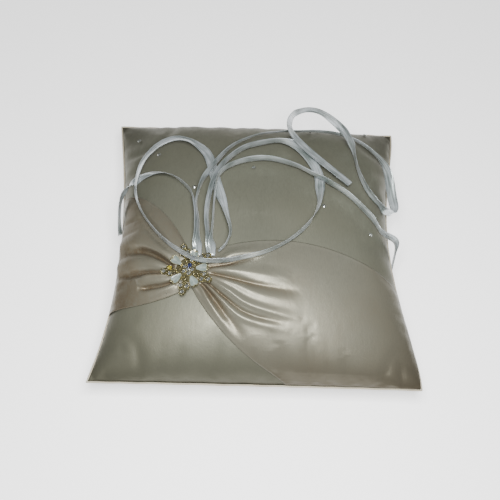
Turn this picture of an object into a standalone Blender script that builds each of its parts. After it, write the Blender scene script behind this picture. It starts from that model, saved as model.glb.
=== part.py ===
"""Ring bearer pillow.

A square satin pillow stuffed with fibrefill, a gathered satin sash, a rhinestone
flower brooch that pins the gather, four narrow satin streamers and loose crystals.
Metres, Z up, origin on the floor under the middle of the pillow, front towards -Y.
"""
import bpy
import bmesh
import math
import numpy as np
from mathutils import Vector, Matrix

# ---------------------------------------------------------------- driving dimensions
OBJECT_NAME = "ring_bearer_pillow"

PILLOW_SIDE = 0.200          # corner to corner along one side
CORNER_SEAM_HEIGHT = 0.025   # seam above the floor at the four corners
CROWN_RISE = 0.033           # top of the pillow above its seam surface
BELLY_FACTOR = 1.12          # how far the underside would sink before the floor flattens it
LEFT_PULL_IN = 0.0115        # middle of the left side drawn in by the stuffing
LEFT_PULL_SKEW = 0.30        # the left side is drawn in deeper towards the front
RIGHT_PULL_IN = 0.0125
RIGHT_PULL_POWER = 1.6
FRONT_PULL_IN = 0.001
BACK_PULL_IN = 0.004
SIDE_SEAM_RISE = 0.005       # seam height gained at the middle of the sides
BACK_SEAM_RISE = 0.005
FRONT_SEAM_RISE = -0.0015
MIDDLE_RISE = 0.005
PROFILE_ACROSS = 2.5         # fullness of the section left to right
PROFILE_ALONG = 2.0          # fullness of the section front to back

SATIN_THICKNESS = 0.0005
SEAM_CORD_RADIUS = 0.00055
SEAM_OUTSET = 0.0007         # seam cord stands this far outside the panel rims
RIM_LIFT = 0.0009            # each panel rim stops this far from the seam surface
TOUCH_GAP = 0.0003           # clearance between pieces that touch
PANEL_STEPS = 24
INSERT_SCALE = 0.94
INSERT_SLACK = 0.003
INSERT_STEPS = 16

SASH_GAP = 0.0006            # curved cloth over curved cloth, facets included
SASH_THICKNESS = SATIN_THICKNESS
SASH_EDGE = 0.9985           # sash stops just short of the seam
SASH_LEFT_TOP = 0.027
SASH_LEFT_BOTTOM = -0.059
SASH_GATHER_TOP = (-0.0400, -0.0328)
SASH_GATHER_BOTTOM = (-0.0400, -0.0508)
SASH_RIGHT_TOP = -0.040      # y where the upper edge meets the right seam
SASH_FRONT_LEFT = 0.018      # x where the lower edge meets the front seam
SASH_ACROSS = 14
SASH_LEFT_STEPS = 12
SASH_RIGHT_STEPS = 22

RIBBON_WIDTH = 0.0064
RIBBON_THICKNESS = 0.0004
RIBBON_RINGS = 80
TWIST_WEIGHT = 0.00025       # metres of ribbon counted per degree of twist
BEND_WEIGHT = 0.012          # metres of ribbon counted per radian of bend

BROOCH_CENTRE = (-0.042, -0.041)
BROOCH_FLOOR = SASH_GAP + SASH_THICKNESS + 0.0004
BROOCH_BASE_RADIUS = 0.0075
BROOCH_BASE_HEIGHT = 0.0018
BROOCH_PLATE_FLOOR = BROOCH_FLOOR + BROOCH_BASE_HEIGHT + TOUCH_GAP
PETAL_THICKNESS = 0.0010
PETAL_RAISE = 0.0005         # petals ride over the ribbon tails tucked under them
SETTING_THICKNESS = 0.0005
SPRAY_ANGLES = (102.0, 34.0, -28.0, -100.0, 184.0)
PETAL_ANGLES = (68.0, 3.0, -64.0, -138.0, 143.0)
SPRAY_STONE_RADIUS = 0.00140
SPRAY_STONE_HEIGHT = 0.0009
CENTRE_STONE_RADIUS = 0.00122
CENTRE_STONE_HEIGHT = 0.0014
CENTRE_RING_RADIUS = 0.0027
CRYSTAL_RADIUS = 0.00145
CRYSTAL_HEIGHT = 0.0014
SMALL_CRYSTAL_RADIUS = 0.0009

# half outlines, outwards along the arm and sideways from it, mirrored below
PETAL_OUTLINE = (
    (0.0050, 0.0007), (0.0065, 0.0012), (0.0083, 0.0020), (0.0098, 0.0026), (0.0113, 0.0028),
    (0.0124, 0.0023), (0.0129, 0.0014), (0.0126, 0.0006),
)
PETAL_NOTCH = (0.0119, 0.0)
SPRAY_OUTLINE = (
    (0.0068, 0.0005), (0.0085, 0.0011), (0.0094, 0.0024), (0.0108, 0.0034), (0.0124, 0.0032),
    (0.0132, 0.0021), (0.0148, 0.0020), (0.0162, 0.0013),
)
SPRAY_TIP = (0.0168, 0.0)
SPRAY_STONES = ((0.0108, 0.0018), (0.0108, -0.0018), (0.0146, 0.0))

# crystals glued to the front: x, y, radius, extra height (over the sash or not)
CRYSTALS = (
    (-0.0840, 0.0770, CRYSTAL_RADIUS, 0.0), (-0.0675, 0.0550, CRYSTAL_RADIUS, 0.0),
    (-0.0418, 0.0210, CRYSTAL_RADIUS, 0.0), (-0.0035, 0.0385, CRYSTAL_RADIUS, 0.0),
    (0.0418, 0.0088, CRYSTAL_RADIUS, 0.0), (0.0720, -0.0060, CRYSTAL_RADIUS, 0.0),
    (0.0370, 0.0845, CRYSTAL_RADIUS, 0.0), (0.0790, 0.0935, CRYSTAL_RADIUS, 0.0),
    (-0.0545, -0.0540, SMALL_CRYSTAL_RADIUS, SASH_GAP + SASH_THICKNESS),
)

# streamers: x, y, z of the middle of the ribbon and its lean in degrees
# (0 lies flat, 90 stands on edge, 180 is flat again with the other face up)
STREAMER_LOOPED = (
    (-0.0362, -0.0332, 0.0626, 3), (-0.0371, -0.0270, 0.0633, 8), (-0.0373, -0.0211, 0.0644, 60),
    (-0.0387, -0.0024, 0.0652, 76), (-0.0397, 0.0063, 0.0647, 85), (-0.0380, 0.0193, 0.0650, 85),
    (-0.0356, 0.0255, 0.0658, 83), (-0.0286, 0.0377, 0.0656, 85), (-0.0193, 0.0534, 0.0622, 103),
    (-0.0048, 0.0670, 0.0583, 117), (0.0147, 0.0747, 0.0553, 121), (0.0475, 0.0798, 0.0511, 114),
    (0.0575, 0.0787, 0.0503, 113), (0.0675, 0.0745, 0.0499, 113), (0.0766, 0.0680, 0.0491, 108),
    (0.0835, 0.0612, 0.0476, 99), (0.0878, 0.0536, 0.0470, 71), (0.0905, 0.0473, 0.0440, 40),
    (0.0927, 0.0314, 0.0385, 23), (0.0938, 0.0249, 0.0370, 47), (0.0928, 0.0209, 0.0365, 62),
    (0.0893, 0.0193, 0.0395, 76), (0.0837, 0.0170, 0.0475, 74), (0.0778, 0.0208, 0.0516, 87),
    (0.0692, 0.0340, 0.0554, 90), (0.0659, 0.0541, 0.0549, 89), (0.0646, 0.0634, 0.0549, 102),
    (0.0625, 0.0662, 0.0580, 106), (0.0603, 0.0718, 0.0584, 112), (0.0566, 0.0790, 0.0572, 112),
    (0.0484, 0.0990, 0.0475, 88), (0.0426, 0.1055, 0.0445, 82), (0.0359, 0.1067, 0.0440, 82),
    (0.0289, 0.1019, 0.0465, 89), (0.0238, 0.0920, 0.0520, 109), (0.0217, 0.0690, 0.0630, 146),
    (0.0288, 0.0555, 0.0648, 163), (0.0344, 0.0498, 0.0638, 164), (0.0406, 0.0436, 0.0633, 163),
    (0.0598, 0.0274, 0.0598, 159),
)
STREAMER_SHORT = (
    (-0.0379, -0.0327, 0.0616, 3), (-0.0382, -0.0264, 0.0623, 8), (-0.0386, -0.0209, 0.0641, 60),
    (-0.0392, -0.0120, 0.0646, 72), (-0.0399, -0.0023, 0.0649, 77), (-0.0410, 0.0062, 0.0645, 76),
    (-0.0428, 0.0124, 0.0641, 88), (-0.0460, 0.0180, 0.0633, 82), (-0.0505, 0.0236, 0.0621, 76),
    (-0.0561, 0.0289, 0.0602, 62), (-0.0628, 0.0333, 0.0573, 45), (-0.0698, 0.0357, 0.0537, 28),
    (-0.0765, 0.0359, 0.0498, 12), (-0.0821, 0.0348, 0.0458, 8), (-0.0861, 0.0307, 0.0450, 60),
    (-0.0893, 0.0271, 0.0430, 88), (-0.0915, 0.0230, 0.0400, 91), (-0.0923, 0.0177, 0.0370, 98),
    (-0.0920, 0.0121, 0.0340, 102), (-0.0916, 0.0065, 0.0312, 108), (-0.0912, 0.0026, 0.0280, 112),
)
STREAMER_ROUND = (
    (-0.0297, -0.0330, 0.0626, 3), (-0.0302, -0.0268, 0.0633, 13), (-0.0309, -0.0211, 0.0648, 56),
    (-0.0324, -0.0122, 0.0651, 63), (-0.0329, -0.0023, 0.0654, 67), (-0.0306, 0.0173, 0.0671, 73),
    (-0.0254, 0.0335, 0.0664, 85), (-0.0136, 0.0502, 0.0631, 94), (-0.0049, 0.0569, 0.0613, 96),
    (0.0053, 0.0611, 0.0603, 97), (0.0149, 0.0623, 0.0601, 100), (0.0236, 0.0596, 0.0603, 66),
    (0.0300, 0.0543, 0.0597, 22), (0.0387, 0.0361, 0.0604, 4), (0.0397, 0.0246, 0.0613, 9),
    (0.0392, 0.0130, 0.0644, 60), (0.0368, 0.0032, 0.0648, 70), (0.0313, -0.0080, 0.0658, 88),
    (0.0153, -0.0250, 0.0672, 81), (-0.0046, -0.0345, 0.0672, 84), (-0.0257, -0.0398, 0.0683, 83),
    (-0.0352, -0.0394, 0.0686, 85), (-0.0434, -0.0358, 0.0677, 88), (-0.0585, -0.0212, 0.0621, 84),
    (-0.0727, -0.0006, 0.0561, 86), (-0.0804, 0.0216, 0.0513, 105), (-0.0800, 0.0406, 0.0511, 129),
    (-0.0725, 0.0573, 0.0521, 150), (-0.0597, 0.0664, 0.0538, 161), (-0.0520, 0.0658, 0.0549, 157),
    (-0.0449, 0.0617, 0.0568, 154), (-0.0385, 0.0558, 0.0576, 170), (-0.0336, 0.0473, 0.0592, 178),
    (-0.0287, 0.0277, 0.0621, 178), (-0.0246, 0.0123, 0.0635, 175), (-0.0219, 0.0021, 0.0659, 138),
    (-0.0181, -0.0136, 0.0663, 111), (-0.0181, -0.0210, 0.0670, 91), (-0.0207, -0.0274, 0.0669, 85),
    (-0.0244, -0.0314, 0.0662, 88),
)
STREAMER_RIGHT = (
    (-0.0280, -0.0334, 0.0633, 3), (-0.0286, -0.0273, 0.0642, 13), (-0.0290, -0.0214, 0.0653, 68),
    (-0.0289, -0.0123, 0.0656, 83), (-0.0286, -0.0031, 0.0667, 85), (-0.0282, 0.0066, 0.0679, 85),
    (-0.0279, 0.0163, 0.0676, 85), (-0.0269, 0.0241, 0.0672, 87), (-0.0237, 0.0312, 0.0661, 92),
    (-0.0179, 0.0366, 0.0652, 97), (-0.0101, 0.0410, 0.0642, 97), (-0.0016, 0.0433, 0.0639, 97),
    (0.0077, 0.0436, 0.0638, 98), (0.0169, 0.0413, 0.0640, 101), (0.0259, 0.0364, 0.0652, 105),
    (0.0342, 0.0307, 0.0662, 104), (0.0429, 0.0262, 0.0652, 101), (0.0520, 0.0226, 0.0618, 98),
    (0.0605, 0.0170, 0.0593, 94), (0.0683, 0.0105, 0.0564, 93), (0.0754, 0.0039, 0.0525, 91),
    (0.0797, -0.0022, 0.0498, 103), (0.0903, -0.0030, 0.0400, 96), (0.0922, -0.0066, 0.0320, 92),
    (0.0919, -0.0104, 0.0245, 90), (0.0916, -0.0136, 0.0190, 90),
)


# ---------------------------------------------------------------- the shape of the pillow
def spread(steps):
    """Positions from -1 to 1, crowded towards both ends where the section turns down."""
    t = np.linspace(-1.0, 1.0, steps + 1)
    return np.sign(t) * (1.0 - (1.0 - np.abs(t)) ** 1.8)


def outline(x, y):
    """Left, right, front and back limits of the pillow beside a point."""
    half = PILLOW_SIDE / 2
    ty = np.clip(np.abs(y / half), 0, 1)
    tx = np.clip(np.abs(x / half), 0, 1)
    skew = 1 - LEFT_PULL_SKEW * np.clip(y / half, -1, 1)
    left = -half + LEFT_PULL_IN * (1 - ty ** 2) * skew
    right = half - RIGHT_PULL_IN * (1 - ty ** 2) ** RIGHT_PULL_POWER
    front = -half + FRONT_PULL_IN * (1 - tx ** 2)
    back = half - BACK_PULL_IN * (1 - tx ** 2)
    return left, right, front, back


def to_square(x, y):
    """A point of the plan as fractions -1..1 across and along the pillow."""
    left, right, front, back = outline(x, y)
    return 2 * (x - left) / (right - left) - 1, 2 * (y - front) / (back - front) - 1


def to_plan(u, v):
    """The reverse of to_square, by repeated correction."""
    x = u * PILLOW_SIDE / 2
    y = v * PILLOW_SIDE / 2
    for _ in range(12):
        left, right, front, back = outline(x, y)
        x = left + (u + 1) * (right - left) / 2
        y = front + (v + 1) * (back - front) / 2
    return x, y


def seam_surface(u, v):
    """Height of the surface that spans the seam."""
    u2 = np.clip(u * u, 0, 1)
    v2 = np.clip(v * v, 0, 1)
    vv = np.clip(v, -1, 1)
    ends = BACK_SEAM_RISE * (1 + vv) / 2 + FRONT_SEAM_RISE * (1 - vv) / 2
    rise = SIDE_SEAM_RISE * (1 - v2) * u2 + ends * (1 - u2) * v2
    return CORNER_SEAM_HEIGHT + rise + MIDDLE_RISE * (1 - u2) * (1 - v2)


def fullness(u, v):
    """1 at the crown, 0 at the seam."""
    a = 1 - np.clip(np.abs(u), 0, 1) ** PROFILE_ACROSS
    b = 1 - np.clip(np.abs(v), 0, 1) ** PROFILE_ALONG
    return np.sqrt(np.clip(a * b, 0, 1))


def front_point(u, v):
    x, y = to_plan(u, v)
    z = seam_surface(u, v) + RIM_LIFT + (CROWN_RISE - RIM_LIFT) * fullness(u, v)
    return np.stack([x, y, z], -1)


def back_point(u, v):
    x, y = to_plan(u, v)
    low = seam_surface(u, v) - RIM_LIFT
    z = low - (BELLY_FACTOR * (low + RIM_LIFT) - RIM_LIFT) * fullness(u, v)
    return np.stack([x, y, np.maximum(z, 0.0)], -1)


def front_normal(u, v):
    e = 2e-4
    du = front_point(u + e, v) - front_point(u - e, v)
    dv = front_point(u, v + e) - front_point(u, v - e)
    n = np.cross(du, dv)
    return n / np.linalg.norm(n, axis=-1, keepdims=True)


# ---------------------------------------------------------------- small helpers
def clear_scene():
    for ob in list(bpy.data.objects):
        bpy.data.objects.remove(ob, do_unlink=True)
    for coll in list(bpy.data.collections):
        bpy.data.collections.remove(coll)
    coll = bpy.data.collections.new(OBJECT_NAME)
    bpy.context.scene.collection.children.link(coll)
    return coll


def material(name, colour, roughness, metallic=0.0):
    mat = bpy.data.materials.new(name)
    mat.use_nodes = True
    shader = mat.node_tree.nodes["Principled BSDF"]
    shader.inputs["Base Color"].default_value = (*colour, 1.0)
    shader.inputs["Roughness"].default_value = roughness
    shader.inputs["Metallic"].default_value = metallic
    return mat


SATIN = ((0.66, 0.56, 0.45), 0.40)
FIBREFILL = ((0.90, 0.90, 0.88), 0.95)
RIBBON = ((0.80, 0.84, 0.88), 0.35)
PEARL = ((0.93, 0.91, 0.86), 0.25)
STONE = ((0.86, 0.88, 0.86), 0.05)
GOLD = ((0.80, 0.66, 0.42), 0.25)


def add_object(coll, name, data, look, metallic=0.0):
    ob = bpy.data.objects.new(name, data)
    coll.objects.link(ob)
    data.materials.append(material(name + "_mat", look[0], look[1], metallic))
    return ob


def grid_mesh(name, across, along, place):
    """A grid primitive whose corners are moved onto a surface."""
    bm = bmesh.new()
    bmesh.ops.create_grid(bm, x_segments=across, y_segments=along, size=1.0)
    bm.verts.ensure_lookup_table()
    flat = np.array([v.co[:2] for v in bm.verts])
    i = np.rint((flat[:, 0] + 1) / 2 * across).astype(int)
    j = np.rint((flat[:, 1] + 1) / 2 * along).astype(int)
    for vert, p in zip(bm.verts, place(i, j)):
        vert.co = p
    mesh = bpy.data.meshes.new(name)
    bm.to_mesh(mesh)
    bm.free()
    return mesh


def solidify(ob, thickness, offset):
    mod = ob.modifiers.new("thickness", "SOLIDIFY")
    mod.thickness = thickness
    mod.offset = offset
    mod.use_rim = True


def flip(mesh):
    bm = bmesh.new()
    bm.from_mesh(mesh)
    bmesh.ops.reverse_faces(bm, faces=bm.faces)
    bm.to_mesh(mesh)
    bm.free()


def smooth_route(points, rings):
    """Natural cubic spline through the chosen points, read more closely where it turns."""
    p = np.array(points, float)
    d = np.r_[0, np.cumsum(np.sqrt(np.linalg.norm(np.diff(p[:, :3], axis=0), axis=1)))]
    n = len(d)
    h = np.diff(d)
    a = np.eye(n)
    b = np.zeros((n, p.shape[1]))
    for k in range(1, n - 1):
        a[k, k - 1:k + 2] = h[k - 1], 2 * (h[k - 1] + h[k]), h[k]
        b[k] = 6 * ((p[k + 1] - p[k]) / h[k] - (p[k] - p[k - 1]) / h[k - 1])
    m = np.linalg.solve(a, b)
    t = np.linspace(0, d[-1], 3000)
    k = np.clip(np.searchsorted(d, t, side="right") - 1, 0, n - 2)
    s = (t - d[k])[:, None]
    r = (d[k + 1] - t)[:, None]
    hk = h[k][:, None]
    q = (m[k] * r ** 3 + m[k + 1] * s ** 3) / (6 * hk)
    q = q + (p[k] / hk - m[k] * hk / 6) * r + (p[k + 1] / hk - m[k + 1] * hk / 6) * s
    piece = np.linalg.norm(np.diff(q[:, :3], axis=0), axis=1)
    twist = np.abs(np.diff(q[:, 3])) * TWIST_WEIGHT
    way = np.diff(q[:, :3], axis=0) / piece[:, None]
    bend = np.r_[0, np.linalg.norm(np.diff(way, axis=0), axis=1)] * BEND_WEIGHT
    run = np.r_[0, np.cumsum(piece + twist + bend)]
    even = np.linspace(0, run[-1], rings)
    return np.stack([np.interp(even, run, q[:, c]) for c in range(4)], -1), piece.sum()


# ---------------------------------------------------------------- pillow
def build_front_panel(coll):
    s = spread(PANEL_STEPS)
    mesh = grid_mesh("front_panel", PANEL_STEPS, PANEL_STEPS, lambda i, j: front_point(s[i], s[j]))
    ob = add_object(coll, "front_panel", mesh, SATIN)
    solidify(ob, SATIN_THICKNESS, -1.0)


def build_back_panel(coll):
    s = spread(PANEL_STEPS)
    mesh = grid_mesh("back_panel", PANEL_STEPS, PANEL_STEPS, lambda i, j: back_point(s[i], s[j]))
    flip(mesh)
    ob = add_object(coll, "back_panel", mesh, SATIN)
    solidify(ob, SATIN_THICKNESS, -1.0)


def build_insert(coll):
    """The fibrefill inside: the same shape, smaller, closed at its own rim."""
    s = spread(INSERT_STEPS)

    def upper(i, j):
        p = front_point(s[i], s[j])
        low = seam_surface(s[i], s[j])
        p[:, :2] *= INSERT_SCALE
        p[:, 2] = low + (CROWN_RISE - INSERT_SLACK) * fullness(s[i], s[j])
        return p

    def lower(i, j):
        p = back_point(s[i], s[j])
        low = seam_surface(s[i], s[j])
        p[:, :2] *= INSERT_SCALE
        z = low - (BELLY_FACTOR * low - INSERT_SLACK) * fullness(s[i], s[j])
        p[:, 2] = np.maximum(z, SATIN_THICKNESS + 2 * TOUCH_GAP)
        return p

    top = grid_mesh("insert_top", INSERT_STEPS, INSERT_STEPS, upper)
    bottom = grid_mesh("insert_bottom", INSERT_STEPS, INSERT_STEPS, lower)
    flip(bottom)
    bm = bmesh.new()
    bm.from_mesh(top)
    bm.from_mesh(bottom)
    bmesh.ops.remove_doubles(bm, verts=bm.verts, dist=1e-6)
    mesh = bpy.data.meshes.new("fibrefill_insert")
    bm.to_mesh(mesh)
    bm.free()
    add_object(coll, "fibrefill_insert", mesh, FIBREFILL)


def build_edge_seam(coll):
    s = spread(PANEL_STEPS)
    one = np.ones(PANEL_STEPS)
    u = np.concatenate([s[:-1], one, -s[:-1], -one])
    v = np.concatenate([-one, s[:-1], one, -s[:-1]])
    x, y = to_plan(u, v)
    out = 1 + SEAM_OUTSET / (PILLOW_SIDE / 2)
    curve = bpy.data.curves.new("edge_seam", "CURVE")
    curve.dimensions = "3D"
    curve.bevel_depth = SEAM_CORD_RADIUS
    curve.bevel_resolution = 1
    line = curve.splines.new("POLY")
    line.points.add(len(u) - 1)
    for k, z in enumerate(seam_surface(u, v)):
        line.points[k].co = (x[k] * out, y[k] * out, z, 1.0)
    line.use_cyclic_u = True
    add_object(coll, "edge_seam", curve, SATIN)


# ---------------------------------------------------------------- sash
def bowed(start, end, bow, t):
    """Quadratic arc between two plan points, pushed sideways by bow at its middle."""
    middle = (start + end) / 2 + bow
    return (1 - t) ** 2 * start + 2 * t * (1 - t) * middle + t ** 2 * end


def sash_lines():
    """One plan line per step across the sash: left seam, gather, right and front seams."""
    lines = []
    f = np.linspace(0, 1, SASH_ACROSS + 1)
    y_left = SASH_LEFT_TOP + f * (SASH_LEFT_BOTTOM - SASH_LEFT_TOP)
    half = PILLOW_SIDE / 2
    corner = half + SASH_RIGHT_TOP
    around = corner + half - SASH_FRONT_LEFT
    split = int(round(SASH_ACROSS * corner / around))
    for k in range(SASH_ACROSS + 1):
        v_left = to_square(np.array(-0.09), y_left[k])[1]
        left = np.array(to_plan(np.array(-SASH_EDGE), v_left))
        gather = np.array(SASH_GATHER_TOP) * (1 - f[k]) + np.array(SASH_GATHER_BOTTOM) * f[k]
        if k <= split:
            y = SASH_RIGHT_TOP - corner * k / split
            v = max(to_square(np.array(0.09), np.array(y))[1], -SASH_EDGE)
            right = np.array(to_plan(np.array(SASH_EDGE), np.array(v)))
        else:
            x = half - (half - SASH_FRONT_LEFT) * (k - split) / (SASH_ACROSS - split)
            u = min(to_square(np.array(x), np.array(-0.099))[0], SASH_EDGE)
            right = np.array(to_plan(np.array(u), np.array(-SASH_EDGE)))
        bow_left = np.array([0.005, 0.016]) * (1 - f[k]) + np.array([0.001, -0.008]) * f[k]
        bow_right = np.array([-0.009, 0.0325]) * (1 - f[k]) + np.array([-0.010, -0.0105]) * f[k]
        t1 = (np.linspace(0, 1, SASH_LEFT_STEPS + 1)[:-1] ** 1.6)[:, None]
        t2 = (1 - (1 - np.linspace(0, 1, SASH_RIGHT_STEPS + 1)) ** 1.8)[:, None]
        lines.append(np.concatenate([bowed(left, gather, bow_left, t1), bowed(gather, right, bow_right, t2)]))
    return np.array(lines)


def build_sash(coll):
    lines = sash_lines()
    u, v = to_square(lines[..., 0], lines[..., 1])
    u = np.clip(u, -SASH_EDGE, SASH_EDGE)
    v = np.clip(v, -SASH_EDGE, SASH_EDGE)
    skin = front_point(u, v) + SASH_GAP * front_normal(u, v)
    steps = lines.shape[1] - 1
    mesh = grid_mesh("gathered_sash", steps, SASH_ACROSS, lambda i, j: skin[SASH_ACROSS - j, i])
    ob = add_object(coll, "gathered_sash", mesh, SATIN)
    solidify(ob, SASH_THICKNESS, 1.0)


# ---------------------------------------------------------------- streamers
def build_ribbon(coll, name, points):
    route, length = smooth_route(points, RIBBON_RINGS)
    curve = bpy.data.curves.new(name, "CURVE")
    curve.dimensions = "3D"
    curve.twist_mode = "Z_UP"
    curve.extrude = RIBBON_WIDTH / 2
    curve.bevel_depth = RIBBON_THICKNESS / 2
    curve.bevel_resolution = 0
    curve.use_fill_caps = True
    line = curve.splines.new("POLY")
    line.points.add(len(route) - 1)
    for point, (x, y, z, lean) in zip(line.points, route):
        point.co = (x, y, z, 1.0)
        point.tilt = math.radians(lean + 90)
    add_object(coll, name, curve, RIBBON)
    print(name, "length %.3f m" % length)


# ---------------------------------------------------------------- brooch and crystals
def seat(x, y, height):
    """A frame standing on the front panel: origin, X to the right, Z off the cloth."""
    u, v = to_square(np.array(x), np.array(y))
    p = Vector(front_point(u, v))
    n = Vector(front_normal(u, v)).normalized()
    right = (Vector((1, 0, 0)) - n * n.x).normalized()
    ahead = n.cross(right)
    turn = Matrix((right, ahead, n)).transposed().to_4x4()
    return Matrix.Translation(p + n * height) @ turn


def plate(coll, name, half, tip, angle, thickness, raised, look, metallic=0.0):
    """A flat scalloped plate cut from a closed outline, standing on the brooch base."""
    curve = bpy.data.curves.new(name, "CURVE")
    curve.dimensions = "2D"
    curve.fill_mode = "BOTH"
    edge = 0.00015
    curve.extrude = thickness / 2 - edge
    curve.bevel_depth = edge
    curve.bevel_resolution = 0
    points = [(a, b) for a, b in half] + [tip] + [(a, -b) for a, b in reversed(half)]
    line = curve.splines.new("POLY")
    line.points.add(len(points) - 1)
    for k, (a, b) in enumerate(points):
        line.points[k].co = (a, b, 0.0, 1.0)
    line.use_cyclic_u = True
    ob = add_object(coll, name, curve, look, metallic)
    frame = seat(*BROOCH_CENTRE, BROOCH_PLATE_FLOOR + raised + thickness / 2)
    ob.matrix_world = frame @ Matrix.Rotation(math.radians(angle), 4, "Z")


def stone(coll, name, frame, radius, height, sides=8):
    """A cut stone: a low frustum with a flat table."""
    bm = bmesh.new()
    lift = Matrix.Translation((0, 0, height / 2))
    bmesh.ops.create_cone(bm, cap_ends=True, cap_tris=False, segments=sides, radius1=radius,
                          radius2=radius * 0.58, depth=height, matrix=frame @ lift)
    mesh = bpy.data.meshes.new(name)
    bm.to_mesh(mesh)
    bm.free()
    add_object(coll, name, mesh, STONE)


def build_brooch(coll):
    base = seat(*BROOCH_CENTRE, BROOCH_FLOOR + BROOCH_BASE_HEIGHT / 2)
    bm = bmesh.new()
    bmesh.ops.create_cone(bm, cap_ends=True, segments=24, radius1=BROOCH_BASE_RADIUS,
                          radius2=BROOCH_BASE_RADIUS, depth=BROOCH_BASE_HEIGHT, matrix=base)
    mesh = bpy.data.meshes.new("brooch_base")
    bm.to_mesh(mesh)
    bm.free()
    add_object(coll, "brooch_base", mesh, GOLD, 1.0)
    for k, angle in enumerate(PETAL_ANGLES):
        name = "petal_%d" % (k + 1)
        plate(coll, name, PETAL_OUTLINE, PETAL_NOTCH, angle, PETAL_THICKNESS, PETAL_RAISE, PEARL)
    rest = BROOCH_PLATE_FLOOR + SETTING_THICKNESS + TOUCH_GAP
    for k, angle in enumerate(SPRAY_ANGLES):
        name = "spray_setting_%d" % (k + 1)
        plate(coll, name, SPRAY_OUTLINE, SPRAY_TIP, angle, SETTING_THICKNESS, 0.0, GOLD, 1.0)
        turn = Matrix.Rotation(math.radians(angle), 4, "Z")
        for j, (a, b) in enumerate(SPRAY_STONES):
            frame = seat(*BROOCH_CENTRE, rest) @ turn @ Matrix.Translation((a, b, 0))
            stone(coll, "spray_stone_%d_%d" % (k + 1, j + 1), frame, SPRAY_STONE_RADIUS, SPRAY_STONE_HEIGHT)
    for k in range(6):
        shift = Matrix.Identity(4)
        if k < 5:
            a = math.radians(66.0 + 72.0 * k)
            shift = Matrix.Translation((CENTRE_RING_RADIUS * math.cos(a), CENTRE_RING_RADIUS * math.sin(a), 0))
        frame = seat(*BROOCH_CENTRE, BROOCH_PLATE_FLOOR) @ shift
        stone(coll, "centre_stone_%d" % (k + 1), frame, CENTRE_STONE_RADIUS, CENTRE_STONE_HEIGHT)


def build_crystals(coll):
    for k, (x, y, radius, extra) in enumerate(CRYSTALS):
        frame = seat(x, y, extra + TOUCH_GAP)
        stone(coll, "crystal_%d" % (k + 1), frame, radius, radius / CRYSTAL_RADIUS * CRYSTAL_HEIGHT)


def main():
    coll = clear_scene()
    build_insert(coll)
    build_front_panel(coll)
    build_back_panel(coll)
    build_edge_seam(coll)
    build_sash(coll)
    build_brooch(coll)
    build_ribbon(coll, "streamer_looped", STREAMER_LOOPED)
    build_ribbon(coll, "streamer_short", STREAMER_SHORT)
    build_ribbon(coll, "streamer_round", STREAMER_ROUND)
    build_ribbon(coll, "streamer_right", STREAMER_RIGHT)
    build_crystals(coll)


main()
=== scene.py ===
# %% [markdown]
# # A satin ring bearer pillow
# A ring bearer carries the wedding rings on a small square pillow. This one is two
# champagne satin panels sewn edge to edge over fibrefill. A wide satin sash crosses it,
# gathered off centre under a rhinestone flower brooch. Four narrow satin streamers start
# under the brooch, ready to tie the rings on, and small crystals are glued here and there.
# The measured model is loaded first, because every soft piece has to sit in its space.

# %% Load the measured model
import math

import bpy
import numpy as np
from mathutils import Matrix, Vector


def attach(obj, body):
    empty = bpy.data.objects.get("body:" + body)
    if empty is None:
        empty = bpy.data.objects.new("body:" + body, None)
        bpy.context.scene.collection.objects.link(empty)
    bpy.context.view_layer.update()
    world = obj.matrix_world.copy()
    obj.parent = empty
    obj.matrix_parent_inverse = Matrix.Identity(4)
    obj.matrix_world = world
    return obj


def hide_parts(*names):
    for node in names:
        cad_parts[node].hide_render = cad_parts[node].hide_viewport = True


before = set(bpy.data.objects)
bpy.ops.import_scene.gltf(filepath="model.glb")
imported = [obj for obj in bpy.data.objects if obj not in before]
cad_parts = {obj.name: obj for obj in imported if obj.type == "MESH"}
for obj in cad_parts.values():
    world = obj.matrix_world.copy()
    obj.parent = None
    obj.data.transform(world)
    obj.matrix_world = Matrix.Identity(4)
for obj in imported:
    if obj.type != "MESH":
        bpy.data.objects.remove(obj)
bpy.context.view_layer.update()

# %% [markdown]
# ## The camera
# The pillow is seen from above its front edge with a normal lens. A camera is a frame of
# three directions, so it is built from its azimuth, elevation and a few degrees of roll
# instead of being aimed with a constraint: nothing is left live in the file.

# %% Place the camera
AZIMUTH, ELEVATION, ROLL = (math.radians(a) for a in (-3.049, 57.638, 4.292))
LOOK_AT = Vector((-0.004157, -0.004077, 0.025))
DISTANCE = 0.484344



def frame_at(place, x, y, z):
    """A frame at a point, from its three directions."""
    return Matrix.Translation(place) @ Matrix((x, y, z)).transposed().to_4x4()


reach = math.cos(ELEVATION)
back = Vector((math.sin(AZIMUTH) * reach, -math.cos(AZIMUTH) * reach, math.sin(ELEVATION)))
level = (-back).cross(Vector((0, 0, 1))).normalized()
upright = level.cross(-back)
side = math.cos(ROLL) * level + math.sin(ROLL) * upright
top = -math.sin(ROLL) * level + math.cos(ROLL) * upright
camera = bpy.data.objects.new("camera", bpy.data.cameras.new("camera"))
camera.data.sensor_width = 36.0
camera.data.lens = 51.99
camera.data.clip_start = 0.01
bpy.context.scene.collection.objects.link(camera)
camera.matrix_world = frame_at(LOOK_AT + back * DISTANCE, side, top, back)
bpy.context.scene.camera = camera
print("camera stands at", [round(c, 3) for c in camera.matrix_world.translation])

# %% [markdown]
# ## A few helpers for mesh work
# Most pieces here are sheets: a grid of points that is bent, wrapped or swollen. One helper
# turns a block of points into a mesh, and one puts a finished mesh in the scene, shaded
# smooth. Each piece keeps its place in its mesh, so its object stays at the origin.

# %% Mesh helpers
def grid_faces(rows, columns):
    """Quads between neighbouring points of a rows x columns block."""
    a = (np.arange(rows - 1)[:, None] * columns + np.arange(columns - 1)).ravel()
    b = a + columns
    return np.stack([a, a + 1, b + 1, b], -1)


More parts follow.
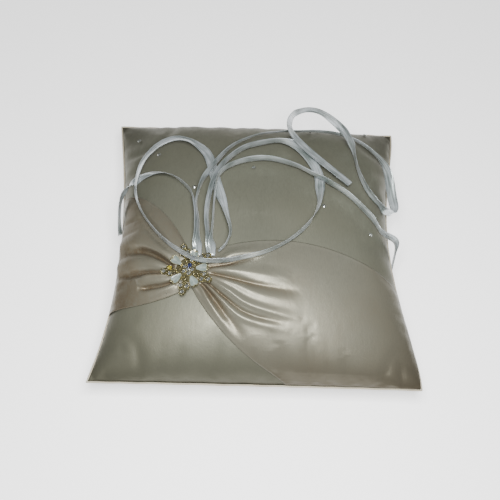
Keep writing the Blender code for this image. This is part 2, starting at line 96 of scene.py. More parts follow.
def add_mesh(name, points, faces, finish=None, uv=None):
    """A smooth mesh object from points and faces, in metres, at the origin."""
    mesh = bpy.data.meshes.new(name)
    points = [tuple(p) for p in np.reshape(points, (-1, 3))]
    mesh.from_pydata(points, [], [tuple(int(k) for k in f) for f in faces])
    if uv is not None:
        layer = mesh.uv_layers.new(name="cloth")
        corner = np.empty(len(mesh.loops), np.int32)
        mesh.loops.foreach_get("vertex_index", corner)
        layer.data.foreach_set("uv", np.reshape(uv, (-1, 2))[corner].astype(np.float32).ravel())
    mesh.shade_smooth()
    ob = bpy.data.objects.new(name, mesh)
    bpy.context.scene.collection.objects.link(ob)
    if finish is not None:
        mesh.materials.append(finish)
    return ob


def add_attribute(ob, name, values):
    """A number on every point that a material can read."""
    attribute = ob.data.attributes.new(name, "FLOAT", "POINT")
    attribute.data.foreach_set("value", np.asarray(values, np.float32).ravel())


def face_outwards(ob):
    """Turns a closed mesh right side out, by the sign of the volume it encloses."""
    mesh = ob.data
    mesh.calc_loop_triangles()
    corners = np.empty(len(mesh.loop_triangles) * 3, np.int32)
    mesh.loop_triangles.foreach_get("vertices", corners)
    points = np.empty(len(mesh.vertices) * 3)
    mesh.vertices.foreach_get("co", points)
    a, b, c = points.reshape(-1, 3)[corners.reshape(-1, 3)].transpose(1, 0, 2)
    if np.einsum("ij,ij->i", a, np.cross(b, c)).sum() < 0:
        mesh.flip_normals()


def bake_modifiers(ob):
    """Turns an object and its modifiers into one plain mesh."""
    graph = bpy.context.evaluated_depsgraph_get()
    mesh = bpy.data.meshes.new_from_object(ob.evaluated_get(graph), preserve_all_data_layers=True,
                                           depsgraph=graph)
    ob.modifiers.clear()
    ob.data = mesh


def blur(field, passes):
    """A block of values with each inner one averaged with its neighbours, a few times over."""
    field = field.copy()
    for _ in range(passes):
        field[1:-1, 1:-1] = (field[1:-1, 1:-1] + field[:-2, 1:-1] + field[2:, 1:-1]
                             + field[1:-1, :-2] + field[1:-1, 2:]) / 5
    return field


# %% [markdown]
# ## Finishes, written as sums
# A procedural finish is a graph of small nodes. Wiring it by hand is slow to read, so a
# socket is wrapped in a class whose operators add the Math node they stand for: 1 - mask
# becomes a subtraction node. Every other node comes from one method.

# %% A class for node sums
def add_node(tree, kind, settings, values, out):
    """Adds a node: its settings first, then a value or links for each socket."""
    made = tree.nodes.new(kind)
    for key, value in (settings or {}).items():
        setattr(made, key, value)
    for key, value in (values or {}).items():
        for one in value if isinstance(value, list) else [value]:
            if isinstance(one, bpy.types.NodeSocket):
                tree.links.new(one, made.inputs[key])
            else:
                made.inputs[key].default_value = one
    return made.outputs[out]


class Socket:
    """One node output. Sums on it add Math nodes to its finish."""

    def __init__(self, finish, link):
        self.finish = finish
        self.link = link

    def maths(self, operation, *values, swap=False):
        terms = [self, *values]
        if swap:
            terms.reverse()
        return self.finish.node("ShaderNodeMath", {"operation": operation}, dict(enumerate(terms)))

    def __add__(self, other):
        return self.maths("ADD", other)

    def __mul__(self, other):
        return self.maths("MULTIPLY", other)

    def __sub__(self, other):
        return self.maths("SUBTRACT", other)

    def __rsub__(self, other):
        return self.maths("SUBTRACT", other, swap=True)

    def __truediv__(self, other):
        return self.maths("DIVIDE", other)

    __radd__ = __add__
    __rmul__ = __mul__

    def clamp(self):
        return self.finish.node("ShaderNodeClamp", {}, {"Value": self})


class Finish:
    """A material with one Principled shader and a method that adds any other node."""

    def __init__(self, name, **constants):
        self.material = bpy.data.materials.new(name)
        self.material.use_nodes = True
        self.tree = self.material.node_tree
        self.shader = self.tree.nodes["Principled BSDF"]
        for key, value in constants.items():
            self.shader.inputs[key.replace("_", " ")].default_value = value

    def node(self, kind, settings=None, values=None, out=0):
        values = {key: v.link if isinstance(v, Socket) else v for key, v in (values or {}).items()}
        return Socket(self, add_node(self.tree, kind, settings, values, out))

    def mix(self, factor, first, second):
        """A blend of two colours by a 0 to 1 mask."""
        first, second = (c if isinstance(c, Socket) else (*c, 1.0) for c in (first, second))
        return self.node("ShaderNodeMix", {"data_type": "RGBA"}, {0: factor, 6: first, 7: second}, out=2)

    def noise(self, where, scale, detail=2.0, stretch=None):
        """Soft noise, optionally pulled out along an axis."""
        if stretch is not None:
            where = self.node("ShaderNodeMapping", {}, {"Vector": where, "Scale": stretch})
        return self.node("ShaderNodeTexNoise", {}, {"Vector": where, "Scale": scale, "Detail": detail})

    def bump(self, height, distance, strength):
        values = {"Height": height, "Distance": distance, "Strength": strength}
        return self.node("ShaderNodeBump", {}, values)

    def feed(self, **links):
        for key, value in links.items():
            self.tree.links.new(value.link, self.shader.inputs[key.replace("_", " ")])
        return self.material

    def place(self):
        """Position on the finished piece, in metres."""
        return self.node("ShaderNodeTexCoord", out="Object")

    def attribute(self, name):
        return self.node("ShaderNodeAttribute", {"attribute_name": name}, out="Fac")


# %% [markdown]
# ## Satin
# Satin is a weave whose long warp floats lie side by side, so it is smooth and glossy along
# one way and duller across it. The cloth of the pillow is a grey champagne with a slow random
# tone. Where folds hide from the light, its colour is painted darker and warmer: painted shade,
# for the light that bounces between their walls. The bump holds three scales: a faint thread
# line, a slub every few millimetres, and slow unevenness from the stuffing. A mask on the
# points tells the finish where a fold is deep, and there it paints that shade. The cloth's
# colour is also painted darker with height, from SHADE_TOP down over SHADE_DEPTH towards the
# seams: painted shade.

# %% Champagne satin
SHADE_TOP = 0.052
SHADE_DEPTH = 0.026


# deep is the darker, warmer colour of the random tone and of the painted shade.
def satin(name, pale, deep, rough, folds=False):
    f = Finish(name, Specular_IOR_Level=0.7, Specular_Tint=(0.5, 0.48, 0.38, 1.0), Metallic=0.30,
               Sheen_Weight=0.02, Sheen_Roughness=0.4, Anisotropic=0.35, IOR=1.45)
    where = f.place()
    slow = f.noise(where, 22.0, 2.0)
    slub = f.noise(where, 420.0, 3.0, (1.0, 0.35, 1.0))
    thread = f.noise(where, 2600.0, 1.0, (1.0, 0.12, 1.0))
    tone_and_shade = ((slow - 0.5) * 0.9 + 0.18).clamp()
    # Painted shade: on the sash the colour is also mixed towards deep in the fold valleys that the mask on
    # its points marks.
    if folds:
        tone_and_shade = (tone_and_shade + f.attribute("fold_depth")).clamp()
    colour = f.mix(tone_and_shade, pale, deep)
    grain = f.mix((thread * 0.6 + slub * 0.4 - 0.42) * 2.6, colour, tuple(c * 0.80 for c in pale))
    # Painted shade: below SHADE_TOP the colour is mixed towards a darker deep colour, more towards the
    # seams.
    level = f.node("ShaderNodeSeparateXYZ", {}, {"Vector": where}, out=2)
    shade = ((SHADE_TOP - level) / SHADE_DEPTH).clamp() * 0.8
    grain = f.mix(shade, grain, tuple(c * 0.42 for c in deep))
    height = thread * 0.3 + slub * 0.5 + slow * 0.6
    roughness = (slub - 0.5) * 0.16 + (slow - 0.5) * 0.1 + rough
    return f.feed(Base_Color=grain, Roughness=roughness, Normal=f.bump(height, 0.00018, 0.7))


panel_satin = satin("panel_satin", (0.126, 0.129, 0.099), (0.096, 0.091, 0.062), rough=0.43)
sash_satin = satin("sash_satin", (0.150, 0.149, 0.117), (0.088, 0.066, 0.040), rough=0.37, folds=True)
print("satin finishes ready")

# %% [markdown]
# ## Streamer satin
# The streamers are single-face satin ribbon, silvery white, about 6 mm wide. Ribbon is woven
# to its width, so its own length and width are the right coordinates for the pattern: fine
# streaks run along it, tiny weft ribs cross it, and a firmer selvedge lines both edges. The
# colour is painted with pale streaks and patches along the ribbon: partly its woven streaks,
# partly painted glints that stand in for its highlights.

# %% Ribbon satin
def ribbon_satin():
    f = Finish("ribbon_satin", Specular_IOR_Level=0.6, Metallic=0.5, Sheen_Weight=0.15,
               Sheen_Roughness=0.3, Anisotropic=0.5, IOR=1.5)
    cloth = f.node("ShaderNodeUVMap", {"uv_map": "cloth"}, out="UV")
    streaks = f.noise(cloth, 900.0, 2.0, (0.06, 1.0, 1.0))
    weft = f.noise(cloth, 1500.0, 1.0, (1.0, 0.1, 1.0))
    slow = f.noise(cloth, 45.0, 2.0)
    edge = f.attribute("selvedge")
    # Painted highlight: the streaks and slow patches lift the colour from grey to pale, partly woven
    # streaks, partly painted glints.
    streaks_and_glints = ((streaks - 0.5) * 2.2 + (slow - 0.5) * 3.0 + 0.45).clamp()
    colour = f.mix(streaks_and_glints, (0.20, 0.235, 0.225), (0.60, 0.65, 0.68))
    colour = f.mix(edge * 0.45, colour, (0.24, 0.27, 0.27))
    roughness = (streaks - 0.5) * 0.22 + edge * 0.12 + 0.23
    height = streaks * 0.4 + weft * 0.6 + edge * 0.8
    return f.feed(Base_Color=colour, Roughness=roughness, Normal=f.bump(height, 0.00010, 0.6))


streamer_satin = ribbon_satin()

# %% [markdown]
# ## The streamers
# Each streamer is one length of ribbon with its route chosen: where it leaves the
# brooch, how it stands on edge in a loop, where it lies flat under another ribbon, and where
# it ends. A point of a route is x, y, z in tenths of a millimetre and the lean of the ribbon
# in degrees: 0 lies flat, 90 stands on edge. A natural cubic spline joins the points, as a
# limp strip bends evenly.

# %% Streamer routes
RIBBON_WIDTH = 0.0064
RIBBON_THICKNESS = 0.00025
RIBBON_CUP = 0.00042
RIBBON_RIPPLE = 0.00012
PINCHED_SHARE = 0.45
PINCH_LENGTH = 0.014


def metres(*points):
    """Route points from tenths of a millimetre and degrees to metres and degrees."""
    return tuple((x / 10000, y / 10000, z / 10000, lean) for x, y, z, lean in points)


STREAMER_LOOPED = metres(
    (-362, -332, 626, 3), (-371, -270, 633, 8), (-373, -211, 644, 60), (-387, -24, 652, 76),
    (-397, 63, 647, 85), (-380, 193, 650, 85), (-356, 255, 658, 83), (-286, 377, 656, 85),
    (-193, 534, 622, 103), (-48, 670, 583, 117), (147, 747, 553, 121), (475, 798, 511, 114),
    (575, 787, 503, 113), (675, 745, 499, 113), (766, 680, 491, 108), (835, 612, 476, 99),
    (878, 536, 470, 71), (905, 473, 440, 40), (927, 314, 385, 23), (938, 249, 370, 47), (928, 209, 365, 62),
    (893, 193, 395, 76), (837, 170, 475, 74), (778, 208, 516, 87), (692, 340, 554, 90), (659, 541, 549, 89),
    (646, 634, 549, 102), (625, 662, 580, 106), (603, 718, 584, 112), (566, 790, 572, 112),
    (484, 990, 475, 88), (426, 1055, 445, 82), (359, 1067, 440, 82), (289, 1019, 465, 89),
    (238, 920, 520, 109), (217, 690, 630, 146), (288, 555, 648, 163), (344, 498, 638, 164),
    (406, 436, 633, 163), (598, 274, 598, 159),
)
STREAMER_SHORT = metres(
    (-379, -327, 616, 3), (-382, -264, 623, 8), (-386, -209, 641, 60), (-392, -120, 646, 72),
    (-399, -23, 649, 77), (-410, 62, 645, 76), (-428, 124, 641, 88), (-460, 180, 633, 82),
    (-505, 236, 621, 76), (-561, 289, 602, 62), (-628, 333, 573, 45), (-698, 357, 537, 28),
    (-765, 359, 498, 12), (-821, 348, 458, 8), (-861, 307, 450, 60), (-893, 271, 430, 88),
    (-915, 230, 400, 91), (-923, 177, 370, 98), (-920, 121, 340, 102), (-916, 65, 312, 108),
    (-912, 26, 280, 112),
)
STREAMER_ROUND = metres(
    (-297, -330, 626, 3), (-302, -268, 633, 13), (-309, -211, 648, 56), (-324, -122, 651, 63),
    (-329, -23, 654, 67), (-306, 173, 671, 73), (-254, 335, 664, 85), (-136, 502, 631, 94),
    (-49, 569, 613, 96), (53, 611, 603, 97), (149, 623, 601, 100), (236, 596, 603, 66), (300, 543, 597, 22),
    (387, 361, 604, 4), (397, 246, 613, 9), (392, 130, 644, 60), (368, 32, 648, 70), (313, -80, 658, 88),
    (153, -250, 672, 81), (-46, -345, 672, 84), (-257, -398, 683, 83), (-352, -394, 686, 85),
    (-434, -358, 677, 88), (-585, -212, 621, 84), (-727, -6, 561, 86), (-804, 216, 513, 105),
    (-800, 406, 511, 129), (-725, 573, 521, 150), (-597, 664, 538, 161), (-520, 658, 549, 157),
    (-449, 617, 568, 154), (-385, 558, 576, 170), (-336, 473, 592, 178), (-287, 277, 621, 178),
    (-246, 123, 635, 175), (-219, 21, 659, 138), (-181, -136, 663, 111), (-181, -210, 670, 91),
    (-207, -274, 669, 85), (-244, -314, 662, 88),
)
STREAMER_RIGHT = metres(
    (-280, -334, 633, 3), (-286, -273, 642, 13), (-290, -214, 653, 68), (-289, -123, 656, 83),
    (-286, -31, 667, 85), (-282, 66, 679, 85), (-279, 163, 676, 85), (-269, 241, 672, 87),
    (-237, 312, 661, 92), (-179, 366, 652, 97), (-101, 410, 642, 97), (-16, 433, 639, 97),
    (77, 436, 638, 98), (169, 413, 640, 101), (259, 364, 652, 105), (342, 307, 662, 104),
    (429, 262, 652, 101), (520, 226, 618, 98), (605, 170, 593, 94), (683, 105, 564, 93), (754, 39, 525, 91),
    (797, -22, 498, 103), (903, -30, 400, 96), (922, -66, 320, 92), (919, -104, 245, 90),
    (916, -136, 190, 90),
)

# %% Even points along a route
def ribbon_path(route, step=0.0015):
    """Natural cubic spline through a route, read at even distances: points and length."""
    p = np.array(route, float)
    d = np.r_[0, np.cumsum(np.sqrt(np.linalg.norm(np.diff(p[:, :3], axis=0), axis=1)))]
    n = len(d)
    h = np.diff(d)
    a = np.eye(n)
    b = np.zeros((n, 4))
    for k in range(1, n - 1):
        a[k, k - 1:k + 2] = h[k - 1], 2 * (h[k - 1] + h[k]), h[k]
        b[k] = 6 * ((p[k + 1] - p[k]) / h[k] - (p[k] - p[k - 1]) / h[k - 1])
    m = np.linalg.solve(a, b)
    t = np.linspace(0, d[-1], 4000)
    k = np.clip(np.searchsorted(d, t, side="right") - 1, 0, n - 2)
    s, r, hk = (t - d[k])[:, None], (d[k + 1] - t)[:, None], h[k][:, None]
    q = (m[k] * r ** 3 + m[k + 1] * s ** 3) / (6 * hk)
    q = q + (p[k] / hk - m[k] * hk / 6) * r + (p[k + 1] / hk - m[k + 1] * hk / 6) * s
    run = np.r_[0, np.cumsum(np.linalg.norm(np.diff(q[:, :3], axis=0), axis=1))]
    even = np.linspace(0, run[-1], int(run[-1] / step) + 1)
    return np.stack([np.interp(even, run, q[:, c]) for c in range(4)], -1), run[-1]


# %% [markdown]
# ## Weaving a route into ribbon
# At every point of the path the ribbon needs a direction across it. It is found from the
# level direction beside the path, turned by the lean, so the ribbon never flips by itself.
# The section is a thin closed oval with a slight cup, because cut ribbon is never dead flat,
# and it is bunched narrower where it goes under the brooch.

# %% Build a streamer
def build_streamer(name, route, far_end):
    path, length = ribbon_path(route)
    way = np.gradient(path[:, :3], axis=0)
    way /= np.linalg.norm(way, axis=1)[:, None]
    beside = np.cross([0, 0, 1.0], way)
    beside /= np.linalg.norm(beside, axis=1)[:, None]
    above = np.cross(way, beside)
    lean = np.radians(path[:, 3])[:, None]
    across = np.cos(lean) * beside + np.sin(lean) * above
    face = np.cross(way, across)
    v = np.array([-1, -0.96, -0.7, -0.35, 0, 0.35, 0.7, 0.96, 1, 0.96, 0.7, 0.35, 0, -0.35, -0.7, -0.96])
    skin = np.array([0, 1, 1, 1, 1, 1, 1, 1, 0, -1, -1, -1, -1, -1, -1, -1]) * RIBBON_THICKNESS / 2
    cup = RIBBON_CUP * (1 - v ** 2)
    reach = np.arange(len(path)) * length / (len(path) - 1)
    ripple = RIBBON_RIPPLE * np.sin(reach * 210 + 3 * np.sin(reach * 47))[:, None]
    pinch = PINCHED_SHARE + (1 - PINCHED_SHARE) * np.clip(reach / PINCH_LENGTH, 0, 1) ** 0.8
    if far_end == "object":
        pinch = pinch * pinch[::-1]
    wide = across[:, None, :] * (v * RIBBON_WIDTH / 2)[None, :, None] * pinch[:, None, None]
    points = path[:, None, :3] + wide
    points = points + face[:, None, :] * (skin + cup + ripple)[..., None]
    n, m = len(path), len(v)
    faces = [(r * m + c, r * m + (c + 1) % m, (r + 1) * m + (c + 1) % m, (r + 1) * m + c)
             for r in range(n - 1) for c in range(m)]
    faces.append(tuple(reversed(range(m))))
    faces.append(tuple((n - 1) * m + c for c in range(m)))
    uv = np.stack([np.repeat(reach, m), np.tile(v * RIBBON_WIDTH / 2, n)], -1)
    ob = add_mesh(name, points, faces, streamer_satin, uv)
    add_attribute(ob, "selvedge", np.tile(np.clip((np.abs(v) - 0.8) / 0.15, 0, 1), n))
    face_outwards(ob)
    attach(ob, "root")
    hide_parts(name.replace("ribbon", "streamer"))
    print(name, "length %.3f m, %d faces" % (length, len(faces)))


for name, route, far_end in (("ribbon_looped", STREAMER_LOOPED, "bare"),
                             ("ribbon_short", STREAMER_SHORT, "bare"),
                             ("ribbon_round", STREAMER_ROUND, "object"),
                             ("ribbon_right", STREAMER_RIGHT, "bare")):
    build_streamer(name, route, far_end)

# %% [markdown]
# ## The stuffed pillow
# Two square panels sewn together and stuffed make a crown whose sides pull in between the
# corners. The shape starts as a rule: the section is full in the middle and falls to the
# seam, and the outline curves in. The numbers are those of the measured model, and the seam
# sits where the model has it.

# %% The pillow's rule
HALF = 0.1
SEAM_LOW = 0.025
CROWN = 0.033
SPREAD = 1.45


def outline(x, y):
    """Left, right, front and back limits of the pillow beside a point."""
    ty = np.clip(np.abs(y) / HALF, 0, 1)
    tx = np.clip(np.abs(x) / HALF, 0, 1)
    left = -HALF + 0.0115 * (1 - ty ** 2) * (1 - 0.3 * np.clip(y / HALF, -1, 1))
    right = HALF - 0.0125 * (1 - ty ** 2) ** 1.6
    return left, right, -HALF + 0.001 * (1 - tx ** 2), HALF - 0.004 * (1 - tx ** 2)


def to_square(x, y):
    """Place across and along the pillow, from -1 to 1, of a plan point."""
    left, right, front, rear = outline(x, y)
    return 2 * (x - left) / (right - left) - 1, 2 * (y - front) / (rear - front) - 1


def to_plan(u, v):
    """Plan point of a place across and along the pillow."""
    x, y = u * HALF, v * HALF
    for _ in range(12):
        left, right, front, rear = outline(x, y)
        x, y = left + (u + 1) * (right - left) / 2, front + (v + 1) * (rear - front) / 2
    return x, y


def seam_surface(u, v):
    u2, v2 = np.clip(u * u, 0, 1), np.clip(v * v, 0, 1)
    vv = np.clip(v, -1, 1)
    ends = 0.005 * (1 + vv) / 2 - 0.0015 * (1 - vv) / 2
    return SEAM_LOW + 0.005 * (1 - v2) * u2 + ends * (1 - u2) * v2 + 0.005 * (1 - u2) * (1 - v2)


def fullness(u, v):
    a = 1 - np.clip(np.abs(u), 0, 1) ** 2.5
    b = 1 - np.clip(np.abs(v), 0, 1) ** 2.0
    return np.sqrt(np.clip(a * b, 0, 1))


# %% [markdown]
# ## Ears, dents and puckers
# Real stuffing never fills the corners. Each corner is a flattened ear with a crease where
# the filling stops, and the satin puckers along the seam where the machine stitch draws it.
# These are added as small heights on the rule before the cloth is let loose.

# %% Corner ears and seam puckers
STEPS = 84
CORNERS = ((-1, -1, 0.30), (1, -1, 0.24), (-1, 1, 0.40), (1, 1, 0.36))
EAR_DROP = 0.0042
EAR_CREASE = 0.0010
PUCKER = 0.00045


def corner_ears(u, v):
    """How far the stuffing falls short in each corner, in metres."""
    drop = np.zeros_like(u)
    for cu, cv, size in CORNERS:
        away = np.sqrt((1 - u * cu) ** 2 + (1 - v * cv) ** 2)
        t = np.clip(1 - away / size, 0, 1)
        drop += EAR_DROP * t ** 0.8 * (1 - t) ** 0.35 + EAR_CREASE * np.exp(-((away - size) / 0.03) ** 2)
    return drop


def seam_puckers(u, v):
    """Shallow gathers that fade within about 12 mm of the seam."""
    near_side = np.exp(-(1 - np.abs(u)) / 0.07) * np.sin(v * 46 + 2.1 * np.sin(v * 11) + u)
    near_end = np.exp(-(1 - np.abs(v)) / 0.07) * np.sin(u * 43 + 1.7 * np.sin(u * 13 + 1) + v)
    wide = 0.5 * np.exp(-(1 - np.abs(v)) / 0.2) * np.sin(u * 13 + 1.3) * (1 - u ** 2)
    return PUCKER * (near_side + near_end + wide)


t = np.linspace(-1, 1, STEPS + 1)
spread = np.sign(t) * (1 - (1 - np.abs(t)) ** SPREAD)
U, V = np.meshgrid(spread, spread, indexing="ij")
X, Y = to_plan(U, V)
swell = fullness(U, V)
low = seam_surface(U, V)
give = np.clip(swell * 3, 0, 1)
front_rule = low + (CROWN - 0.0004) * swell + (seam_puckers(U, V) - corner_ears(U, V)) * give
back_rule = low - 1.10 * low * swell + (seam_puckers(V, U) + 0.8 * corner_ears(U, V)) * give
print("rule made on a grid of", U.shape)

# %% [markdown]
# ## Letting the satin settle
# A rule alone looks machined. The two panels are joined into one closed bag, its seam is
# pinned, and Blender's Cloth blows it up with a little pressure and slightly too much cloth,
# so it finds its own soft wrinkles. A voxel remesh would lose the seam's sharp ears, so the
# regular grid is kept instead. Afterwards no point may have moved more than a few
# millimetres. The swelling itself is taken out again and only the wrinkles stay, because the
# crown must stay where the streamers and the brooch lie on it.

# %% Cloth simulation of the pillow bag
CLOTH = {"quality": 6, "mass": 0.15, "vertex_group_mass": "seam", "use_pressure": True,
         "uniform_pressure_force": 4.0, "shrink_min": -0.012, "bending_stiffness": 0.8}
FRAMES = 20
FARTHEST = 0.0035
WRINKLE_SHARE = 0.5
WRINKLE_TOP = 0.0003


def bag_mesh():
    """Both panels as one closed bag: points, faces, the pinned rim and the back's points."""
    n = STEPS + 1
    front, rear = (np.stack([X, Y, rule], -1).reshape(-1, 3) for rule in (front_rule, back_rule))
    rim = np.ones((n, n), bool)
    rim[1:-1, 1:-1] = False
    inner = np.flatnonzero(~rim.ravel())
    below = np.arange(n * n)
    below[inner] = n * n + np.arange(len(inner))
    faces = grid_faces(n, n)
    faces = np.concatenate([faces[:, ::-1], below[faces]])
    return np.concatenate([front, rear[inner]]), faces, rim.ravel(), below


def settle(points, faces, pinned):
    bag = add_mesh("bag", points, faces)
    pins = bag.vertex_groups.new(name="seam")
    pins.add([int(k) for k in np.flatnonzero(pinned)], 1.0, "REPLACE")
    cloth = bag.modifiers.new("cloth", "CLOTH")
    for key, value in CLOTH.items():
        setattr(cloth.settings, key, value)
    cloth.settings.effector_weights.gravity = 0.0
    cloth.point_cache.frame_start = 1
    cloth.point_cache.frame_end = FRAMES
    scene = bpy.context.scene
    for number in range(1, FRAMES + 1):
        scene.frame_set(number)
    graph = bpy.context.evaluated_depsgraph_get()
    grown = bag.evaluated_get(graph).data
    moved = np.empty(len(grown.vertices) * 3)
    grown.vertices.foreach_get("co", moved)
    moved = moved.reshape(-1, 3) - points
    far = np.linalg.norm(moved, axis=1)
    moved *= np.minimum(1, FARTHEST / np.maximum(far, 1e-9))[:, None]
    bpy.data.objects.remove(bag, do_unlink=True)
    scene.frame_set(1)
    print("cloth moved up to %.1f mm, mean %.2f mm" % (far.max() * 1e3, far.mean() * 1e3))
    return points + moved


bag_points, bag_faces, seam_points, below = bag_mesh()
bag_points = settle(bag_points, bag_faces, seam_points)
front_skin = bag_points[:len(seam_points)].reshape(STEPS + 1, STEPS + 1, 3)
back_skin = bag_points[below].reshape(STEPS + 1, STEPS + 1, 3)


def keep_wrinkles(skin, rule):
    """The wrinkles that the cloth found, on the crown that the measured model has."""
    start = np.stack([X, Y, rule], -1)
    moved = skin - start
    wrinkle = WRINKLE_SHARE * (moved - blur(moved, 30))
    wrinkle[..., 2] = np.minimum(wrinkle[..., 2], WRINKLE_TOP)
    return start + wrinkle


front_skin = keep_wrinkles(front_skin, front_rule)
back_skin = keep_wrinkles(back_skin, back_rule)
back_skin[..., 2] = np.maximum(back_skin[..., 2], 0.0)
print("crown %.1f mm" % (front_skin[..., 2].max() * 1e3))

# %% [markdown]
# ## Two panels
# The settled bag is parted again into the panels it is sewn from. Each stands off by a hair
# at its rim so that the seam cord has room, and gets the thickness of lined satin.

# %% Front and back panels
def panel(name, skin, outward, nodes):
    faces = grid_faces(STEPS + 1, STEPS + 1)
    skin = skin + outward * np.stack([0 * U, 0 * U, rim_lift], -1)
    ob = add_mesh(name, skin, faces[:, ::-outward], panel_satin)
    ob.data.update()
    smooth = ob.modifiers.new("smooth", "SUBSURF")
    smooth.levels = smooth.render_levels = 1
    thick = ob.modifiers.new("cloth_thickness", "SOLIDIFY")
    thick.thickness = 0.0005
    thick.offset = -1.0
    bake_modifiers(ob)
    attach(ob, "root")
    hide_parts(*nodes)
    print(name, len(ob.data.polygons), "faces")


rim_lift = 0.0004 * np.exp(-(1 - np.maximum(np.abs(U), np.abs(V))) / 0.01)
panel("satin_front", front_skin, 1, ["front_panel"])
panel("satin_back", back_skin, -1, ["back_panel", "fibrefill_insert"])

# %% [markdown]
# ## The seam cord
# The panels meet in a narrow welt, the pale line seen along the front edge. Its colour is
# painted much paler than the satin's: a painted highlight for the lit edge of the seam. It
# follows the seam all the way round, so Geometry Nodes make it: the loop becomes a curve, the
# curve a round cord, and small stitches are set along it at an even pitch. A node tree is
# built by a helper that names its inputs, and the finished tree is run and made plain mesh.

# %% Geometry Nodes helper
class Recipe:
    """A Geometry Nodes tree with named inputs, used on one object and then made plain mesh."""

    def __init__(self, name, **sizes):
        self.tree = bpy.data.node_groups.new(name, "GeometryNodeTree")
        face = self.tree.interface
        face.new_socket("Geometry", in_out="INPUT", socket_type="NodeSocketGeometry")
        self.sizes = sizes
        for key, value in sizes.items():
            kind = "NodeSocketInt" if isinstance(value, int) else "NodeSocketFloat"
            face.new_socket(key, in_out="INPUT", socket_type=kind)
        face.new_socket("Geometry", in_out="OUTPUT", socket_type="NodeSocketGeometry")
        self.inputs = self.tree.nodes.new("NodeGroupInput").outputs

    def node(self, kind, settings=None, values=None, out=0):
        return add_node(self.tree, kind, settings, values, out)

    def attribute(self, name, kind="FLOAT"):
        return self.node("GeometryNodeInputNamedAttribute", {"data_type": kind}, {"Name": name})

    def cook(self, ob, geometry, finish):
        """Ends the tree, runs it on an object and leaves plain mesh."""
        real = self.node("GeometryNodeRealizeInstances", None, {"Geometry": geometry})
        dressed = self.node("GeometryNodeSetMaterial", None, {"Geometry": real, "Material": finish})
        end = self.tree.nodes.new("NodeGroupOutput")
        self.tree.links.new(dressed, end.inputs[0])
        modifier = ob.modifiers.new("recipe", "NODES")
        modifier.node_group = self.tree
        for item in self.tree.interface.items_tree:
            if item.in_out == "INPUT" and item.name in self.sizes:
                modifier[item.identifier] = self.sizes[item.name]
        bake_modifiers(ob)
        print(ob.name, len(ob.data.polygons), "faces")


# %% Seam cord finish
def cord_finish():
    f = Finish("welt_satin", Specular_IOR_Level=0.4, Sheen_Weight=0.2, Sheen_Roughness=0.4)
    where = f.place()
    slow = f.noise(where, 90.0, 2.0)
    fine = f.noise(where, 1800.0, 2.0)
    # Painted highlight: both colours are far paler than the satin, for the lit edge of the seam; the slow
    # noise between them is random tone.
    colour = f.mix((slow * 1.6 - 0.3).clamp(), (0.40, 0.375, 0.29), (0.30, 0.26, 0.19))
    return f.feed(Base_Color=colour, Roughness=fine * 0.2 + 0.38, Normal=f.bump(fine + slow, 0.00015, 0.5))


# %% Lay the cord and its stitches along the seam
def seam_loop(outset, steps=420):
    t = np.linspace(0, 4, steps, endpoint=False)
    side, run = np.divmod(t, 1)
    run = 2 * run - 1
    u = np.select([side == 0, side == 1, side == 2], [run, 1 + 0 * run, -run], -1.0)
    v = np.select([side == 0, side == 1, side == 2], [-1 + 0 * run, run, 1 + 0 * run], -run)
    x, y = to_plan(u, v)
    out = 1 + outset / HALF
    wave = 0.00022 * np.sin(t * 61 + 2 * np.sin(t * 9))
    return np.stack([x * out, y * out, seam_surface(u, v) + wave], -1)


def build_welt():
    mesh = bpy.data.meshes.new("seam_welt")
    loop = seam_loop(0.0006)
    n = len(loop)
    mesh.from_pydata([tuple(p) for p in loop], [(k, (k + 1) % n) for k in range(n)], [])
    ob = bpy.data.objects.new("seam_welt", mesh)
    bpy.context.scene.collection.objects.link(ob)
    r = Recipe("seam_cord", **{"Cord radius": 0.00062, "Stitch pitch": 0.0026,
                               "Stitch radius": 0.00014, "Stitch length": 0.0016})
    curve = r.node("GeometryNodeMeshToCurve", None, {"Mesh": r.inputs["Geometry"]})
    ring = r.node("GeometryNodeCurvePrimitiveCircle", None,
                  {"Resolution": 10, "Radius": r.inputs["Cord radius"]})
    cord = r.node("GeometryNodeCurveToMesh", None, {"Curve": curve, "Profile Curve": ring})
    spaced = r.node("GeometryNodeResampleCurve", {"mode": "LENGTH"},
                    {"Curve": curve, "Length": r.inputs["Stitch pitch"]})
    along = r.node("GeometryNodeInputTangent")
    turn = r.node("FunctionNodeAlignRotationToVector", {"axis": "Z"}, {"Vector": along})
    stitch = r.node("GeometryNodeMeshCylinder", None,
                    {"Vertices": 6, "Radius": r.inputs["Stitch radius"],
                     "Depth": r.inputs["Stitch length"]})
    lifted = r.node("GeometryNodeSetPosition", None, {"Geometry": spaced, "Offset": (0.0, 0.0, 0.00060)})
    put = r.node("GeometryNodeInstanceOnPoints", None,
                 {"Points": lifted, "Instance": stitch, "Rotation": turn})
    smooth = r.node("GeometryNodeSetShadeSmooth", None, {"Geometry": cord})
    both = r.node("GeometryNodeJoinGeometry", None, {"Geometry": [smooth, put]})
    r.cook(ob, both, cord_finish())
    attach(ob, "root")
    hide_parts("edge_seam")


build_welt()

# %% [markdown]
# ## The sash
# The sash is one strip of satin, caught in both side seams and squeezed to a finger's width
# under the brooch, so it fans out into folds. Its lines are those of the measured model:
# each starts on the left seam, runs through the gather and ends on the right or front seam.
# The strip is laid over the settled panel and lifted by the folds, which are the real look
# of it: fine pleats at the gather that open into a few long ridges and valleys. The valleys
# get painted shade: their colour is painted darker and warmer.

